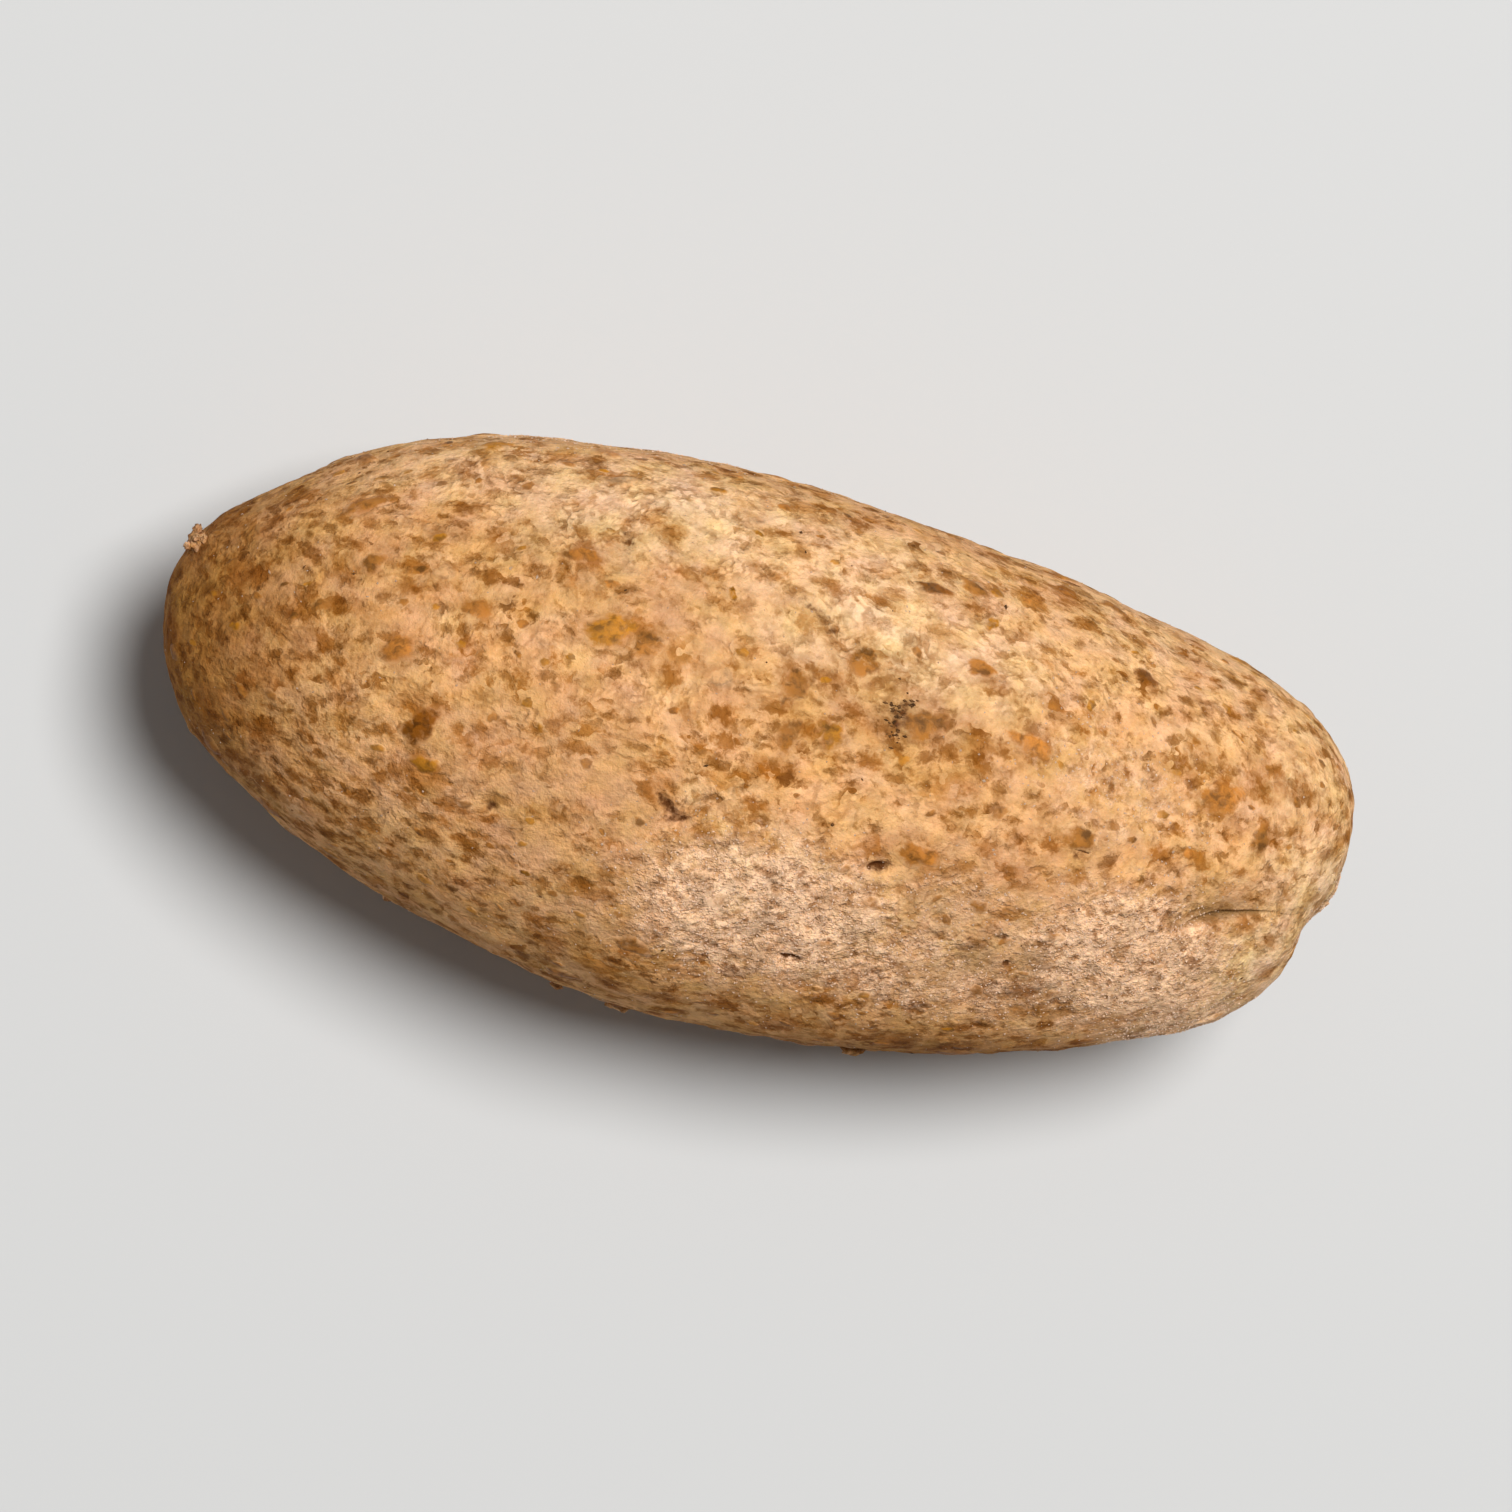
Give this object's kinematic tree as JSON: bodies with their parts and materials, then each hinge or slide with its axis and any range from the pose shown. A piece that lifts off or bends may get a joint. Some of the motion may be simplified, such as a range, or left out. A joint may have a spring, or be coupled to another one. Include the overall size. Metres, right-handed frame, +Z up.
{
  "type": "kibbeh",
  "caption": "Raw frozen kibbeh, a hand-rolled torpedo of bulgur and meat dough with grains and frost on its surface, lying on a small flat spot.",
  "frame": {"origin": "middle of the base, at the middle of the bounding box in X and Y, on the plane that the piece rests on", "axes": "+X along the roll towards its blunter, cracked end, +Y towards the side that is upper in the picture, +Z up"},
  "size_m": [0.0837, 0.0382, 0.0353],
  "materials": {
    "dough": "raw bulgur and meat dough, dull, flecked with brown bran",
    "bulgur": "cracked bulgur grain, amber to brown, slightly waxy",
    "frost": "freezer frost, white, fine sparkle"
  },
  "bodies": {
    "root": {"kibbeh": "dough"}
  },
  "joints": []
}
